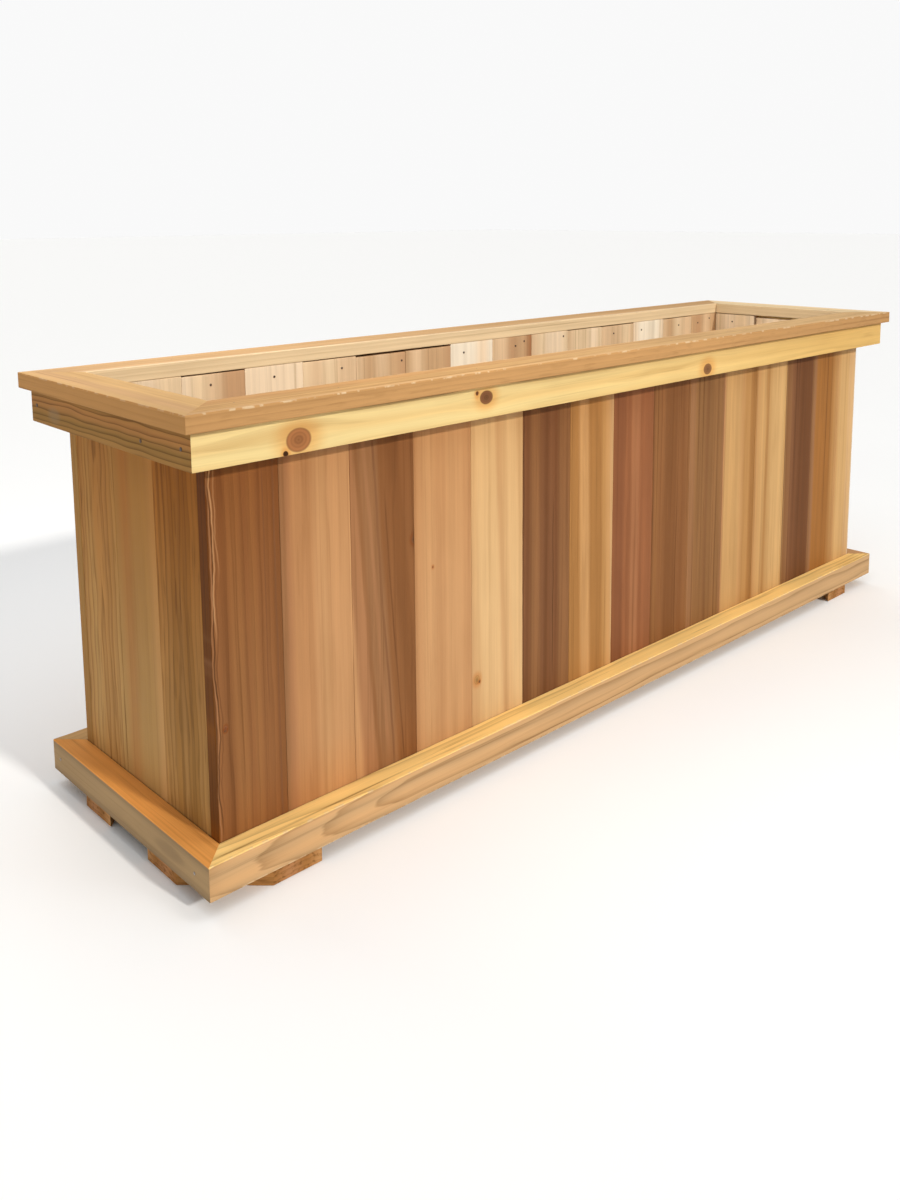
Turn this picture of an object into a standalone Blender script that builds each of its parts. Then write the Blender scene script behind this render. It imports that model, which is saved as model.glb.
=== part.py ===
"""A raised cedar trough planter: butted upright boards between two mitred rails, a mitred cap and corner feet.

Metres, +Z up. The origin is the middle of the footprint, on the ground. X runs along the trough, and the front
is at -Y.
"""

import bpy
import bmesh

GAP = 0.0003  # joint line between two pieces that touch

# Stock sizes
BOARD_WIDTH = 0.0889
BOARD_THICK = 0.016
BOARD_HEIGHT = 0.461
RAIL_THICK = 0.029
FASCIA_HEIGHT = 0.038
BASE_TRIM_HEIGHT = 0.037
CAP_THICK = 0.018
CAP_OVERHANG = 0.010  # past the fascia
FOOT_THICK = 0.018

# The box of upright boards, outside faces
END_BOARD_COUNT = 3
BODY_LENGTH = 1.299
BODY_DEPTH = END_BOARD_COUNT * BOARD_WIDTH + 2 * BOARD_THICK

# Boards are laid from the left end. The first and last of each long side are ripped to fit.
SIDE_BOARD_COUNT = 15
FRONT_FIRST_WIDTH = 0.082
BACK_FIRST_WIDTH = 0.0455
OPEN_JOINT = 0.0045  # the right end's rear joint has opened up

# Boards cut short of the cap, counted from the left or from the front
SHORT_BACK_BOARDS = {3: 0.0015, 5: 0.001, 6: 0.003, 7: 0.0025, 11: 0.001, 12: 0.0015, 14: 0.001}
SHORT_RIGHT_BOARDS = {1: 0.003, 2: 0.004, 3: 0.001}

# Corner feet: a board laid across each corner, its two ends cut flush with the rails
FOOT_NEAR = 0.075  # from the rail's corner to the near edge, along the rail
FOOT_FAR = {"front_left": 0.136, "front_right": 0.144, "back_left": 0.138, "back_right": 0.134}
FOOT_INSET = 0.004

# Floor: boards laid lengthwise on cross bearers, which sit on two long cleats
FLOOR_THICK = 0.016
FLOOR_BOARD_COUNT = 3
FLOOR_SLOT = 0.008  # drainage slot beside each floor board
BEARER_WIDTH = 0.038
BEARER_HEIGHT = 0.029
CLEAT_WIDTH = 0.029
CLEAT_HEIGHT = 0.019
BEARER_COUNT = 3

ARRIS = 0.0012  # eased edge of sawn stock

# Heights worked out from the stock sizes
BODY_BOTTOM = FOOT_THICK + GAP
BODY_TOP = BODY_BOTTOM + BOARD_HEIGHT
CAP_BOTTOM = BODY_TOP + GAP
CLEAT_TOP = BODY_BOTTOM + CLEAT_HEIGHT
BEARER_TOP = CLEAT_TOP + GAP + BEARER_HEIGHT
FLOOR_BOTTOM = BEARER_TOP + GAP

# Wood colours: linear RGB
TONES = {
    "russet": (0.235, 0.103, 0.047),
    "tan": (0.480, 0.262, 0.118),
    "straw": (0.600, 0.375, 0.165),
    "umber": (0.165, 0.083, 0.045),
    "gold": (0.460, 0.235, 0.070),
    "brown": (0.255, 0.135, 0.062),
    "amber": (0.400, 0.165, 0.045),
    "cream": (0.730, 0.530, 0.290),
    "rose": (0.520, 0.280, 0.155),
    "rail_pale": (0.720, 0.470, 0.165),
    "rail_tan": (0.520, 0.300, 0.125),
    "rail_brown": (0.270, 0.155, 0.065),
    "rail_grey": (0.300, 0.210, 0.125),
    "cap": (0.500, 0.265, 0.100),
    "offcut": (0.330, 0.175, 0.070),
}
FRONT_TONES = (
    "russet tan russet tan straw umber gold russet brown brown straw straw umber amber tan"
).split()
BACK_TONES = (
    "straw cream rose straw tan rose tan cream rose straw straw tan cream rose tan"
).split()
LEFT_TONES = "brown tan brown".split()
RIGHT_TONES = "tan rose rose".split()
FLOOR_TONES = "tan straw brown".split()

WOOD_ROUGHNESS = 0.62


def clear_scene():
    for obj in list(bpy.data.objects):
        bpy.data.objects.remove(obj, do_unlink=True)


def wood(tone):
    """The material of one wood tone, made once."""
    made = bpy.data.materials.get(tone)
    if made:
        return made
    made = bpy.data.materials.new(tone)
    made.use_nodes = True
    shader = made.node_tree.nodes["Principled BSDF"]
    shader.inputs["Base Color"].default_value = (*TONES[tone], 1.0)
    shader.inputs["Roughness"].default_value = WOOD_ROUGHNESS
    shader.inputs["Metallic"].default_value = 0.0
    return made


def finish(obj, tone):
    """Gives the object its wood and its eased edges."""
    obj.data.materials.append(wood(tone))
    weld = obj.modifiers.new("weld", "WELD")
    weld.merge_threshold = 0.00005
    bevel = obj.modifiers.new("arris", "BEVEL")
    bevel.width = ARRIS
    bevel.segments = 1
    bevel.limit_method = "ANGLE"
    planter.objects.link(obj)


def block(name, low, high, tone):
    """A squared board between two corners."""
    mesh = bpy.data.meshes.new(name)
    shape = bmesh.new()
    bmesh.ops.create_cube(shape, size=1.0)
    sides = [b - a for a, b in zip(low, high)]
    bmesh.ops.scale(shape, vec=sides, verts=shape.verts)
    shape.to_mesh(mesh)
    shape.free()
    obj = bpy.data.objects.new(name, mesh)
    obj.location = [(a + b) / 2 for a, b in zip(low, high)]
    finish(obj, tone)


def plate(name, outline, bottom, thick, tone):
    """A flat board cut to an outline in plan."""
    curve = bpy.data.curves.new(name, "CURVE")
    curve.dimensions = "2D"
    curve.fill_mode = "BOTH"
    curve.extrude = thick / 2
    spline = curve.splines.new("POLY")
    spline.points.add(len(outline) - 1)
    for point, (x, y) in zip(spline.points, outline):
        point.co = (x, y, 0.0, 1.0)
    spline.use_cyclic_u = True
    obj = bpy.data.objects.new(name, curve)
    obj.location = (0.0, 0.0, bottom + thick / 2)
    finish(obj, tone)


def mitred_ring(prefix, outer, inner, bottom, thick, tones):
    """Four mitred pieces around the box: outer and inner are the half sizes (x, y) of the ring."""
    (outer_x, outer_y), (inner_x, inner_y) = outer, inner
    cut = GAP / 2**0.5  # each mitre stands back by half the joint line
    long_side = [
        (-outer_x + cut, outer_y),
        (outer_x - cut, outer_y),
        (inner_x - cut, inner_y),
        (-inner_x + cut, inner_y),
    ]
    short_side = [
        (outer_x, -outer_y + cut),
        (outer_x, outer_y - cut),
        (inner_x, inner_y - cut),
        (inner_x, -inner_y + cut),
    ]
    front = [(x, -y) for x, y in long_side]
    left = [(-x, y) for x, y in short_side]
    sides = {"front": front, "back": long_side, "left": left, "right": short_side}
    for side, outline in sides.items():
        plate(f"{prefix}_{side}", outline, bottom, thick, tones[side])


def long_wall(prefix, first_width, y_low, tones, short_boards):
    """Upright boards butted side by side from the left end, the last one ripped to fit."""
    y_high = y_low + BOARD_THICK
    left = -BODY_LENGTH / 2
    right = left + first_width
    for number in range(1, SIDE_BOARD_COUNT + 1):
        if number == SIDE_BOARD_COUNT:
            right = BODY_LENGTH / 2
        seam_left = 0.0 if number == 1 else GAP / 2
        seam_right = 0.0 if number == SIDE_BOARD_COUNT else GAP / 2
        top = BODY_TOP - short_boards.get(number, 0.0)
        low = (left + seam_left, y_low, BODY_BOTTOM)
        high = (right - seam_right, y_high, top)
        block(f"{prefix}_{number:02d}", low, high, tones[number - 1])
        left = right
        right = left + BOARD_WIDTH


def end_wall(prefix, x_low, tones, open_joint, short_boards):
    """Upright boards between the two long walls. The rear one leaves the open joint in front of it."""
    left = -BODY_DEPTH / 2 + BOARD_THICK
    for number, tone in enumerate(tones, start=1):
        seam = GAP / 2 + (open_joint if number == END_BOARD_COUNT else 0.0)
        top = BODY_TOP - short_boards.get(number, 0.0)
        low = (x_low, left + seam, BODY_BOTTOM)
        high = (x_low + BOARD_THICK, left + BOARD_WIDTH - GAP / 2, top)
        block(f"{prefix}_{number}", low, high, tone)
        left += BOARD_WIDTH


def walls():
    long_wall("front_board", FRONT_FIRST_WIDTH, -BODY_DEPTH / 2, FRONT_TONES, {})
    back_low = BODY_DEPTH / 2 - BOARD_THICK
    long_wall("back_board", BACK_FIRST_WIDTH, back_low, BACK_TONES, SHORT_BACK_BOARDS)
    end_wall("left_end_board", -BODY_LENGTH / 2, LEFT_TONES, 0.0, {})
    right_low = BODY_LENGTH / 2 - BOARD_THICK
    end_wall("right_end_board", right_low, RIGHT_TONES, OPEN_JOINT, SHORT_RIGHT_BOARDS)


def rails():
    wall_x = BODY_LENGTH / 2 + GAP
    wall_y = BODY_DEPTH / 2 + GAP
    rail_x = wall_x + RAIL_THICK
    rail_y = wall_y + RAIL_THICK
    base_tones = {"front": "rail_tan", "back": "rail_tan", "left": "rail_grey", "right": "rail_tan"}
    fascia_tones = {
        "front": "rail_pale",
        "back": "rail_tan",
        "left": "rail_brown",
        "right": "rail_pale",
    }
    cap_tones = {side: "cap" for side in base_tones}
    outer, inner = (rail_x, rail_y), (wall_x, wall_y)
    mitred_ring("base_trim", outer, inner, BODY_BOTTOM, BASE_TRIM_HEIGHT, base_tones)
    mitred_ring("fascia", outer, inner, BODY_TOP - FASCIA_HEIGHT, FASCIA_HEIGHT, fascia_tones)
    cap_outer = (rail_x + CAP_OVERHANG, rail_y + CAP_OVERHANG)
    cap_inner = (BODY_LENGTH / 2 - BOARD_THICK, BODY_DEPTH / 2 - BOARD_THICK)
    mitred_ring("cap", cap_outer, cap_inner, CAP_BOTTOM, CAP_THICK, cap_tones)


def feet():
    corner_x = BODY_LENGTH / 2 + GAP + RAIL_THICK
    corner_y = BODY_DEPTH / 2 + GAP + RAIL_THICK
    for corner, far in FOOT_FAR.items():
        x_sign = -1 if corner.endswith("left") else 1
        y_sign = -1 if corner.startswith("front") else 1
        on_long_side = corner_y - FOOT_INSET
        on_short_side = corner_x - FOOT_INSET
        outline = [
            (x_sign * (corner_x - FOOT_NEAR), y_sign * on_long_side),
            (x_sign * (corner_x - far), y_sign * on_long_side),
            (x_sign * on_short_side, y_sign * (corner_y - far)),
            (x_sign * on_short_side, y_sign * (corner_y - FOOT_NEAR)),
        ]
        plate(f"foot_{corner}", outline, 0.0, FOOT_THICK, "offcut")


def floor():
    inside_x = BODY_LENGTH / 2 - BOARD_THICK - GAP
    inside_y = BODY_DEPTH / 2 - BOARD_THICK - GAP
    for name, y_sign in (("front", -1), ("back", 1)):
        y_wall = y_sign * inside_y
        y_free = y_sign * (inside_y - CLEAT_WIDTH)
        low = (-inside_x, min(y_wall, y_free), BODY_BOTTOM)
        high = (inside_x, max(y_wall, y_free), CLEAT_TOP)
        block(f"floor_cleat_{name}", low, high, "offcut")
    for index in range(BEARER_COUNT):
        spacing = 2 * (inside_x - BEARER_WIDTH) / (BEARER_COUNT - 1)
        middle = -inside_x + BEARER_WIDTH + index * spacing
        low = (middle - BEARER_WIDTH / 2, -inside_y, CLEAT_TOP + GAP)
        high = (middle + BEARER_WIDTH / 2, inside_y, BEARER_TOP)
        block(f"floor_bearer_{index + 1}", low, high, "offcut")
    slots = (FLOOR_BOARD_COUNT - 1) * FLOOR_SLOT
    width = (2 * inside_y - slots) / FLOOR_BOARD_COUNT
    for index, tone in enumerate(FLOOR_TONES):
        y_low = -inside_y + index * (width + FLOOR_SLOT)
        low = (-inside_x, y_low, FLOOR_BOTTOM)
        high = (inside_x, y_low + width, FLOOR_BOTTOM + FLOOR_THICK)
        block(f"floor_board_{index + 1}", low, high, tone)


clear_scene()
planter = bpy.data.collections.new("cedar_trough_planter")
bpy.context.scene.collection.children.link(planter)
walls()
rails()
feet()
floor()
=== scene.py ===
"""Looks of the cedar trough planter: sawn boards, knots, nails and a wood of its own for each piece.

Metres, +Z up, in the frame of the CAD model. Each piece of wood is swept along its grain and stands for
one CAD node. Every point of it remembers its place in its own plank: u along the grain, v across the wide
face and w through the thickness. The materials read that place, so rings, streaks and knots run through the
solid wood.
"""

import math
import random

import bpy
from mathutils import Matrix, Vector, noise


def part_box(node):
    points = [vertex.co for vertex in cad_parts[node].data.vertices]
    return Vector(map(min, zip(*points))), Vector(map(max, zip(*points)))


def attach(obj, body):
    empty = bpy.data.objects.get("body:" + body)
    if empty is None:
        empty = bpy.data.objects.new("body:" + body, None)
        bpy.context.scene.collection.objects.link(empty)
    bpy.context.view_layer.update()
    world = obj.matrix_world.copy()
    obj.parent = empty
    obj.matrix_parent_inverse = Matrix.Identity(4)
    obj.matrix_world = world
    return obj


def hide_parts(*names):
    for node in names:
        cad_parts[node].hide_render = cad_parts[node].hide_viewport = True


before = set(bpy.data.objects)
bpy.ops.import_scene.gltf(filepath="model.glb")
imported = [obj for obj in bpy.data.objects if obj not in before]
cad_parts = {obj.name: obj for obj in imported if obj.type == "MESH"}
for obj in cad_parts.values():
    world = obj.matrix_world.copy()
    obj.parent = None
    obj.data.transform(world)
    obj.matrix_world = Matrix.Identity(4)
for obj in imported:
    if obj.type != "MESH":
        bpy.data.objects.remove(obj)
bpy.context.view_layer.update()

# ---------------------------------------------------------------------------
# Wood tones, as sRGB

TONES = {
    "bark": "#4a2c16",
    "cocoa": "#734829",
    "umber_dark": "#7b4f30",
    "umber": "#855838",
    "umber_lit": "#90633e",
    "brown_dark": "#885832",
    "brown": "#936139",
    "brown_lit": "#9a683d",
    "nut_dark": "#8c603a",
    "nut": "#94683f",
    "hazel": "#a0714a",
    "russet_dark": "#8c5737",
    "russet": "#9b623e",
    "russet_lit": "#ae744d",
    "amber": "#a97037",
    "gold_dark": "#b07c45",
    "gold": "#bf8d54",
    "honey": "#ce9b63",
    "tan_dark": "#b07c53",
    "tan": "#bf8a5b",
    "peach": "#ce9a69",
    "apricot": "#d3a06e",
    "wheat": "#d1a268",
    "corn": "#dbae73",
    "corn_lit": "#e7bb70",
    "straw_dark": "#d6a875",
    "straw": "#deb27d",
    "pale": "#e6bc86",
    "linen": "#e3c8a7",
    "white": "#fff0d6",
    "dune": "#c8a173",
    "ginger": "#f2a554",
    "sunlit": "#ffd384",
    "cedar": "#c1925d",
    "bronze": "#885018",
    "knot": "#ad7144",
    "moss_dark": "#96703a",
    "loden_dark": "#a4783f",
    "loden": "#af834b",
    "sand": "#d2ab80",
    "clay": "#cca177",
    "shell": "#e7c59c",
    "cream": "#f0d3aa",
    "ivory": "#f7ddba",
    "vanilla": "#f2d5a8",
    "parchment": "#ffdfb0",
    "lemon_dark": "#e8c27c",
    "lemon": "#f0cd8a",
    "lemon_lit": "#f7dc9a",
    "olive_dark": "#a57a42",
    "olive": "#bd8e53",
    "olive_lit": "#c0975d",
    "moss": "#b8996f",
    "grey": "#9c8261",
    "rust": "#b06a3c",
}
ALBEDO = 0.72  # of a tone's own brightness, for a lit face to come out in that tone


def linear(tone):
    """The linear RGBA of a named tone."""
    digits = TONES[tone][1:]
    channels = [int(digits[i : i + 2], 16) / 255 for i in (0, 2, 4)]
    channels = [c / 12.92 if c <= 0.04045 else ((c + 0.055) / 1.055) ** 2.4 for c in channels]
    return (*(c * ALBEDO for c in channels), 1.0)


# ---------------------------------------------------------------------------
# What each piece of wood looks like. A face is read across its width, from v = low to v = high.


class Look:
    """One piece's wood."""

    def __init__(self, face, **settings):
        self.face = face.split()  # tones, evenly spaced across the wide face
        self.lean = 0.0  # how far the tones drift across, in widths per metre of length
        self.lean_from = 0.2  # the u where they lie as listed
        self.far = None  # tone that the wood turns to towards its far end
        self.wander = 0.003  # sideways waviness of the grain, metres
        self.wave_rate = 2.5  # waves per metre
        self.ring = 0.006  # ring spacing, metres
        self.ring_dark = 0.12  # how dark the late wood is
        self.pith = 0.0  # where the tree's heart lies across the face, metres
        self.depth = 0.12  # how far under the face it lies
        self.arch = 0.0  # how far that depth swings along the length, metres
        self.arch_rate = 1.5  # swings per metre
        self.slope = (0.0, 0.0)  # a u, and how much the depth also grows per metre before it
        self.streak = 0.15  # how strong the broad streaks are
        self.lines = 0.14  # how dark the fine lines are
        self.mottle = 0.11  # how strong the soft clouds are
        self.fleck = 0.0  # how dark the short flecks are
        self.fleck_size = (0.030, 0.004)  # their length and width, metres
        self.top = 0.0  # painted shade: how much deeper the colour is toward the upper end, under the fascia
        self.top_from = 0.16  # where that begins, metres up the board
        self.low = 0.0  # how much more orange it is just above the base
        self.fascia_shadow = 0.0  # painted shadow: how dark the strip just under the fascia is
        self.smudges = ()  # soft grey patches: (u, v, half length, half height)
        self.ledge_light_and_shade = None  # painted light and shade: a tone for the narrow face at high v, set for how the light falls on it
        self.sill_light_and_shade = None  # painted light and shade: a tone for the narrow face at low v, set for how the light falls on it
        self.oiled = 0  # the side of w that is oiled while the other is left pale
        self.raw = 0  # the side of w that is left pale while the other is oiled
        self.edge = 0.0  # how pale the worn outer arrises are
        self.knots = ()  # (u, v, radius, tone), metres in the plank
        self.seams_and_shadow_line = ()  # wavy lines, one of them a painted shadow line under the cap: (v, width, tone, wander, from u, to u)
        self.seam_rate = 14.0  # their waves per metre
        self.seed = 0.0
        for name, value in settings.items():
            setattr(self, name, value)


# The front boards' top is painted shade toward the fascia.
FRONT_LOOKS = [
    # The first board's sill is painted shade on its left narrow face.
    Look("brown brown brown_dark brown_lit brown_lit brown brown_lit brown brown brown_dark brown_dark",
         top=0.9, low=0.4, sill_light_and_shade="bronze", wander=0.006, ring_dark=0.20, ring=0.008, pith=-0.045, depth=0.02,
         arch=0.01, lines=0.20,
         knots=((0.154, -0.029, 0.0018, "russet_dark"), (0.151, -0.0295, 0.0012, "umber_dark")),
         seam_rate=17.0,
         seams_and_shadow_line=((-0.0405, 0.0020, "bark", 0.0010, 0.03, 0.47),
                (-0.0385, 0.0010, "tan_dark", 0.0026, 0.02, 0.47),
                (-0.0370, 0.0010, "bark", 0.0030, 0.03, 0.47),
                (-0.0352, 0.0012, "peach", 0.0034, 0.24, 0.47),
                (-0.0336, 0.0009, "cocoa", 0.0036, 0.06, 0.47),
                (-0.0318, 0.0010, "tan", 0.0038, 0.30, 0.47),
                (0.022, 0.0010, "umber_dark", 0.0006, 0.15, 0.42),
                (0.034, 0.0016, "umber", 0.0006, 0.02, 0.46))),
    Look("hazel tan_dark tan tan tan peach apricot peach peach peach peach", lean=0.02, top=0.3, low=0.5,
         lines=0.07),
    Look("peach tan_dark tan_dark hazel hazel hazel brown brown brown_dark brown_dark brown", lean=0.80,
         wander=0.012, wave_rate=2.0, lines=0.14, top=0.3, low=0.3,
         knots=((0.292, 0.0435, 0.003, "umber_dark"),), seam_rate=5.0,
         seams_and_shadow_line=((-0.022, 0.0040, "brown", 0.0030, 0.00, 0.46),
                (-0.009, 0.0034, "tan_dark", 0.0022, 0.05, 0.44),
                (0.000, 0.0022, "umber", 0.0030, 0.02, 0.46),
                (0.013, 0.0014, "cocoa", 0.0020, 0.02, 0.36))),
    Look("tan peach apricot apricot peach peach apricot apricot apricot peach peach", ring_dark=0.05,
         top=0.4, lines=0.06, knots=((0.253, -0.017, 0.0012, "russet"),)),
    Look("straw_dark straw pale pale pale pale straw_dark straw pale pale straw", lean=0.45, ring_dark=0.05,
         lines=0.05, top=0.4, knots=((0.094, -0.036, 0.0038, "gold"), (0.0905, -0.0335, 0.0013, "umber"))),
    Look("umber umber_dark umber_lit umber_lit umber umber_dark umber umber_dark umber_lit umber_lit "
         "umber_lit", ring_dark=0.12, streak=0.22, lines=0.20, top=0.5,
         seams_and_shadow_line=((-0.0430, 0.0016, "bark", 0.0015, 0.02, 0.47), (0.012, 0.0009, "bark", 0.001, 0.05, 0.30))),
    Look("gold_dark gold_dark gold_dark honey honey gold_dark gold_dark gold_dark gold honey straw_dark",
         lean=0.22, top=0.2, lines=0.14, seams_and_shadow_line=((0.041, 0.0008, "straw", 0.0005, 0.05, 0.40),)),
    Look("russet russet_dark russet_dark russet russet russet_lit russet_lit russet russet russet russet",
         top=0.2, lines=0.14, mottle=0.14),
    Look("brown brown_lit brown brown brown_dark brown_dark brown_dark brown brown_dark brown brown_lit",
         lines=0.16, mottle=0.12, seams_and_shadow_line=((-0.0430, 0.0012, "bark", 0.0006, 0.15, 0.46),)),
    Look("hazel hazel nut nut nut nut_dark nut nut nut nut hazel", lines=0.20, streak=0.2,
         seams_and_shadow_line=((-0.005, 0.0008, "bark", 0.0004, 0.185, 0.232),
                (0.020, 0.0007, "umber_dark", 0.0008, 0.10, 0.42))),
    Look("tan wheat wheat wheat wheat wheat honey gold gold gold_dark gold_dark", lines=0.10),
    Look("gold_dark honey wheat wheat gold wheat corn corn corn corn corn", lines=0.08),
    Look("wheat nut_dark umber_lit umber umber_dark umber_dark cocoa cocoa cocoa cocoa umber_dark",
         lines=0.22, streak=0.22, seams_and_shadow_line=((-0.0395, 0.0012, "bark", 0.0015, 0.02, 0.47),)),
    Look("umber_lit hazel amber amber amber amber amber amber gold_dark gold honey", lines=0.14),
    Look("honey wheat corn corn corn corn corn straw straw straw linen", ring_dark=0.05, lines=0.06),
]
BACK_LOOKS = [
    # The first board's sill is painted shade on its left narrow face.
    Look("wheat cream", sill_light_and_shade="olive_dark"),
    Look("cream cream ivory cream cream"),
    Look("ivory cream shell clay clay"),
    Look("ivory ivory ivory ivory ivory", ring_dark=0.06),
    Look("cream shell cream shell shell", ring_dark=0.06),
    Look("shell sand shell sand clay"),
    Look("sand shell sand sand clay"),
    Look("white white white ivory white", ring_dark=0.06),
    Look("shell shell clay sand tan_dark", ring_dark=0.10),
    Look("shell cream ivory ivory cream"),
    Look("shell cream cream ivory cream"),
    Look("shell shell shell cream shell", ring_dark=0.06),
    Look("ivory white white white ivory"),
    Look("shell sand cream shell shell"),
    Look("sand clay shell sand clay"),
]
# The left boards' top is painted shade: they darken strongly upward, toward the fascia.
LEFT_LOOKS = [
    Look("olive loden loden loden_dark loden loden_dark loden_dark loden loden", mottle=0.24, wander=0.010,
         wave_rate=5.0, lines=0.20, ring_dark=0.34, ring=0.0085, depth=0.002, arch=0.010, arch_rate=5.0,
         fleck=0.35, fleck_size=(0.050, 0.0045), top=1.7, top_from=0.05),
    Look("olive_lit gold olive_lit olive_lit wheat", ring_dark=0.05, streak=0.08, lines=0.05, top=1.25,
         top_from=0.05, low=0.15),
    Look("olive olive_lit olive olive olive_lit", mottle=0.15, ring_dark=0.42, ring=0.0085, depth=0.004,
         arch=0.012, arch_rate=6.0, wander=0.010, wave_rate=8.0, fleck=0.35, fleck_size=(0.060, 0.0045),
         top=1.1, top_from=0.05, low=0.1),
]
RIGHT_LOOKS = [
    Look("cream shell ivory shell"),
    Look("ivory cream ivory shell"),
    Look("ivory cream ivory cream"),
]
FASCIA_LOOKS = {
    "front": Look("lemon lemon_lit lemon lemon_lit lemon", ring_dark=0.14, wander=0.004, ring=0.009,
                  depth=0.0, arch=0.012, arch_rate=2.2, mottle=0.10, far="corn_lit", lines=0.08,
                  knots=((-0.562, -0.005, 0.0112, "knot"), (-0.304, 0.0050, 0.0076, "umber"),
                         (0.141, -0.0088, 0.0086, "umber_lit"), (-0.5775, -0.0114, 0.0023, "bark"),
                         (-0.3185, 0.0085, 0.0018, "umber_dark")),
                  # painted shadow line under the cap, along the fascia's top edge
                  seams_and_shadow_line=((0.0182, 0.0026, "umber_dark", 0.0002, -0.72, 0.72),)),
    "back": Look("corn pale straw corn", ring_dark=0.12, depth=0.02, arch=0.02),
    "left": Look("olive_dark moss_dark gold_dark moss_dark", ring_dark=0.80, ring=0.0060, wander=0.009,
                 wave_rate=6.0, depth=-0.004, arch=0.010, arch_rate=4.0, mottle=0.14, pith=0.030,
                 smudges=((-0.118, -0.006, 0.018, 0.010),)),
    "right": Look("lemon corn lemon lemon_dark", ring_dark=0.12, depth=0.03, arch=0.02),
}
# The rails' ledge tones are painted light on their top faces: sunlit in front, a warm bounce on the shaded
# left end.
BASE_LOOKS = {
    "front": Look("dune straw_dark dune straw_dark", ring_dark=0.42, ring=0.0095, depth=-0.006, arch=0.006,
                  arch_rate=3.0, wander=0.005, wave_rate=5.0, streak=0.10, lines=0.26, slope=(-0.430, 0.13),
                  far="dune", edge=0.5, ledge_light_and_shade="sunlit"),
    "back": Look("corn honey wheat corn", ring_dark=0.20, depth=0.02, arch=0.04),
    "left": Look("grey moss moss grey", ring_dark=0.06, streak=0.1, mottle=0.2, ledge_light_and_shade="ginger",
                 smudges=((0.100, 0.0, 0.03, 0.008),)),
    "right": Look("corn apricot corn apricot", ring_dark=0.16, depth=0.02, arch=0.03),
}
# The cap's ledge and sill tones are painted light and shade on its outer and inner faces.
CAP_LOOKS = {
    "front": Look("honey honey wheat wheat straw_dark", ring_dark=0.14, ring=0.007, edge=0.7, far="pale",
                  fleck=0.15, ledge_light_and_shade="cedar"),
    "back": Look("shell straw_dark straw straw_dark straw", ring_dark=0.14, ring=0.007, edge=0.4,
                 sill_light_and_shade="vanilla"),
    "left": Look("corn corn straw_dark corn", ring_dark=0.10, ring=0.007, edge=0.3, ledge_light_and_shade="gold"),
    "right": Look("parchment vanilla parchment parchment", ring_dark=0.10, edge=0.4, sill_light_and_shade="vanilla"),
}
FOOT_LOOK = dict(face="gold_dark tan gold_dark honey", ring_dark=0.3, fleck=0.6, mottle=0.25)
FLOOR_LOOKS = [
    Look("tan peach tan peach"),
    Look("straw straw_dark straw"),
    Look("brown russet brown"),
]
HIDDEN_LOOK = dict(face="gold_dark tan gold_dark", ring_dark=0.25, fleck=0.4, mottle=0.25)


# ---------------------------------------------------------------------------
# Swept planks

ARC_STEPS = 3  # of each rounded arris
FACE_COLUMNS = 5  # of points across a wide face
SUPPORT = 0.0018  # a column this near each arris keeps the wear narrow
STATION = 0.012  # spacing of the cross-sections along the plank
END_STATIONS = (0.0, 0.0004, 0.0012)  # and how far the last ones are from an end
FEWEST_STATIONS = 4
END_EASE = 0.0007  # how much a sawn end is rounded
SHARP_ANGLE = 50.0  # degrees, for the planks

ARRIS = 0.0006
SMALLEST_ARRIS = 0.0004
LARGEST_ARRIS = 0.6  # of half the thickness
ARRIS_SWING = 0.6
ARRIS_WAVES = 22.0  # per metre, as are those below
NICK_WAVES = 55.0
NICK_FROM = 0.35  # only the highest of those waves leave a nick
NICK_DEPTH = 0.0018
CHIP_REACH = 0.006
EDGE_IN = 0.00004  # how far an edge runs in from straight
EDGE_WAVES = 7.0
FACE_ROUGH = 0.00012  # how far a face runs in from flat
FACE_WAVES_ALONG = 16.0
FACE_WAVES_ACROSS = 60.0

OUTER_RIGHT = 2  # a section's corners are numbered counter-clockwise, from low v and low w


def wobble(seed, along, rate, across=0.0):
    """Smooth noise from about -1 to 1 along a plank."""
    return noise.noise(Vector((along * rate, across, seed * 17.3)))


def section(half_v, half_w, radii):
    """A rounded rectangle, counter-clockwise, as (v, w, nearness to an arris)."""
    corners = [(-1, -1), (1, -1), (1, 1), (-1, 1)]
    arcs = []
    for (side_v, side_w), radius, quarter in zip(corners, radii, (2, 3, 0, 1)):
        centre_v = side_v * (half_v - radius)
        centre_w = side_w * (half_w - radius)
        arc = []
        for step in range(ARC_STEPS + 1):
            turn = (quarter + step / ARC_STEPS) * math.pi / 2
            arc.append((centre_v + radius * math.cos(turn), centre_w + radius * math.sin(turn), 1.0))
        arcs.append(arc)
    loop = []
    for index, arc in enumerate(arcs):
        loop += arc
        start, end = arc[-1], arcs[(index + 1) % 4][0]
        step_v, step_w = end[0] - start[0], end[1] - start[1]
        length = math.hypot(step_v, step_w)
        wide = index % 2 == 0
        count = FACE_COLUMNS if wide else 1
        support = min(SUPPORT, length / 4) / length
        shares = [support] + [(k + 1) / (count + 1) for k in range(count)] + [1 - support]
        for share in shares:
            loop.append((start[0] + step_v * share, start[1] + step_w * share, 0.0))
    return loop


def arris_radii(look, along, half_w, chips):
    """The radii of a section's four arrises, uneven, with here and there a nick."""
    radii = []
    for corner in range(4):
        radius = ARRIS * (1.0 + ARRIS_SWING * wobble(look.seed + corner, along, ARRIS_WAVES))
        radius += max(0.0, wobble(look.seed + 5 + corner, along, NICK_WAVES) - NICK_FROM) * NICK_DEPTH
        for chip_u, chip_corner, chip_depth in chips:
            if chip_corner == corner:
                radius += chip_depth * math.exp(-(((along - chip_u) / CHIP_REACH) ** 2))
        radii.append(min(max(radius, SMALLEST_ARRIS), half_w * LARGEST_ARRIS))
    return radii


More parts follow.
